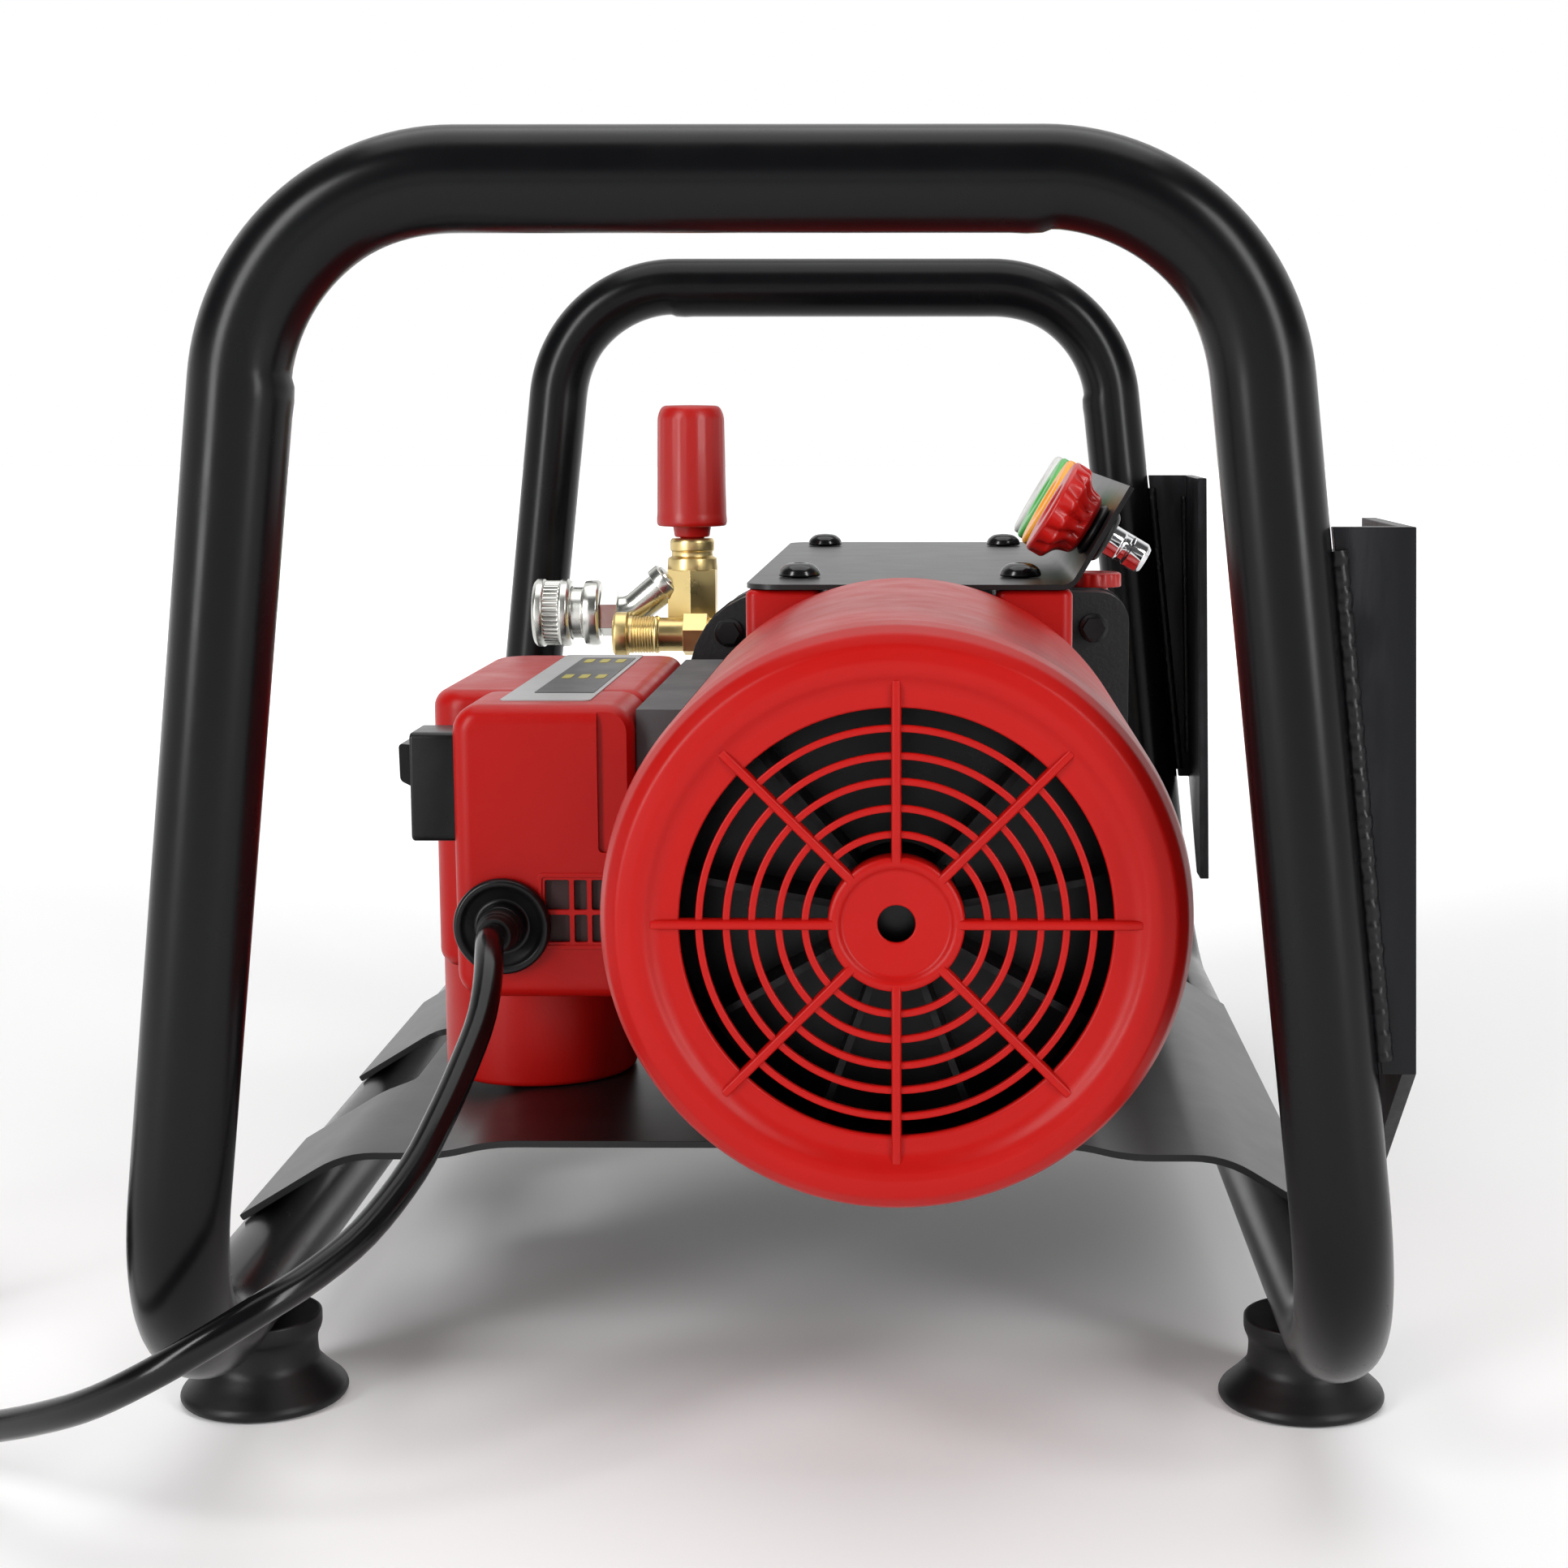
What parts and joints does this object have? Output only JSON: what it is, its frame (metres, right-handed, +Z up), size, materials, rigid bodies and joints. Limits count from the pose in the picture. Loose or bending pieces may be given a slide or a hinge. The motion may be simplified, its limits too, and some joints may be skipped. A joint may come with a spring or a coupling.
{
  "type": "electric pressure washer",
  "caption": "Electric pressure washer power unit: fan-cooled motor and pump with unloader knob on a deck in a tubular roll frame, with a nozzle rack, switch box and mains cord.",
  "frame": {"origin": "on the ground, at the middle of the roll frame's footprint (the mains cord is left out of that footprint)", "axes": "+Z up, -Y towards the fan end of the motor, +X towards the side with the two welded brackets and the nozzles' plug ends"},
  "size_m": [0.6328, 0.6056, 0.3758],
  "materials": {
    "frame_coat": "satin black powder coat",
    "sheet_coat": "semi-matte black powder coat",
    "black_rubber": "matte",
    "black_screw": "glossy black oxide",
    "red_plastic": "semi-matte, fine moulded grain",
    "dark_cast": "dark grey paint over a fine cast texture",
    "dark_pad": "matte",
    "steel": "turned",
    "lamination": "laminated",
    "black_plastic": "semi-matte",
    "aluminium": "cast, satin",
    "brass": "machined",
    "chrome": "polished",
    "cord_rubber": "glossy jacket",
    "nozzle_red": "semi-gloss",
    "nozzle_yellow": "semi-gloss",
    "nozzle_green": "semi-gloss",
    "nozzle_white": "semi-gloss"
  },
  "bodies": {
    "chassis": {"bearing_front": "steel", "bearing_rear": "steel", "bracket_front": "frame_coat", "bracket_rear": "frame_coat", "cable_gland": "black_plastic", "capacitor_housing": "red_plastic", "cord_coil": "cord_rubber", "coupler_body": "chrome", "crankcase": "dark_cast", "deck": "sheet_coat", "fan_cowl": "red_plastic", "foot_front_left": "black_rubber", "foot_front_right": "black_rubber", "foot_rear_left": "black_rubber", "foot_rear_right": "black_rubber", "front_leg_left": "frame_coat", "front_leg_right": "frame_coat", "front_top_bar": "frame_coat", "grommet_green": "black_rubber", "grommet_red": "black_rubber", "grommet_white": "black_rubber", "grommet_yellow": "black_rubber", "inlet_fitting": "brass", "mains_plug": "cord_rubber", "motor_end_bell": "dark_cast", "motor_saddle": "dark_cast", "motor_shell": "dark_cast", "outlet_barrel": "brass", "outlet_elbow": "chrome", "plate_screw_front_left": "black_screw", "plate_screw_front_right": "black_screw", "plate_screw_rear_left": "black_screw", "plate_screw_rear_right": "black_screw", "power_cord": "cord_rubber", "pump_head": "aluminium", "rail_left": "frame_coat", "rail_right": "frame_coat", "rear_leg_left": "frame_coat", "rear_leg_right": "frame_coat", "rear_top_bar": "frame_coat", "stator": "lamination", "strain_relief": "cord_rubber", "switch_bezel": "black_plastic", "terminal_box": "red_plastic", "terminal_pad": "dark_pad", "top_plate": "sheet_coat"},
    "drive": {"motor_shaft": "steel", "rotor": "lamination", "cooling_fan": "black_plastic", "swash_plate": "steel"},
    "knob": {"unloader_knob": "red_plastic"},
    "collar": {"coupler_collar": "chrome"},
    "rocker_body": {"rocker": "black_plastic"},
    "oil_cap_body": {"oil_cap": "red_plastic"},
    "nozzle_red_body": {"nozzle_red": "nozzle_red"},
    "nozzle_yellow_body": {"nozzle_yellow": "nozzle_yellow"},
    "nozzle_green_body": {"nozzle_green": "nozzle_green"},
    "nozzle_white_body": {"nozzle_white": "nozzle_white"}
  },
  "joints": [
    {"name": "shaft_spin", "type": "hinge", "parent": "chassis", "child": "drive", "pos_m": [0.0368, 0, 0.165], "axis": [0, 1, 0], "continuous": true},
    {"name": "knob_turn", "type": "hinge", "parent": "chassis", "child": "knob", "pos_m": [-0.0565, 0.156, 0.2505], "axis": [0, 0, 1], "range_deg": [-720, 360]},
    {"name": "collar_slide", "type": "slide", "parent": "chassis", "child": "collar", "axis": [1, 0, 0], "range_m": [0, 0.005], "stiffness_N_per_m": 2000},
    {"name": "rocker_tilt", "type": "hinge", "parent": "chassis", "child": "rocker_body", "pos_m": [-0.1181, -0.13, 0.1856], "axis": [0, 1, 0], "range_deg": [0, 16]},
    {"name": "oil_cap_turn", "type": "hinge", "parent": "chassis", "child": "oil_cap_body", "pos_m": [0.1125, 0.098, 0.2335], "axis": [0, 0, 1], "range_deg": [0, 720]},
    {"name": "nozzle_red_slide", "type": "slide", "parent": "chassis", "child": "nozzle_red_body", "axis": [-0.8616, 0, 0.5075], "range_m": [0, 0.03]},
    {"name": "nozzle_yellow_slide", "type": "slide", "parent": "chassis", "child": "nozzle_yellow_body", "axis": [-0.8616, 0, 0.5075], "range_m": [0, 0.03]},
    {"name": "nozzle_green_slide", "type": "slide", "parent": "chassis", "child": "nozzle_green_body", "axis": [-0.8616, 0, 0.5075], "range_m": [0, 0.03]},
    {"name": "nozzle_white_slide", "type": "slide", "parent": "chassis", "child": "nozzle_white_body", "axis": [-0.8616, 0, 0.5075], "range_m": [0, 0.03]}
  ]
}
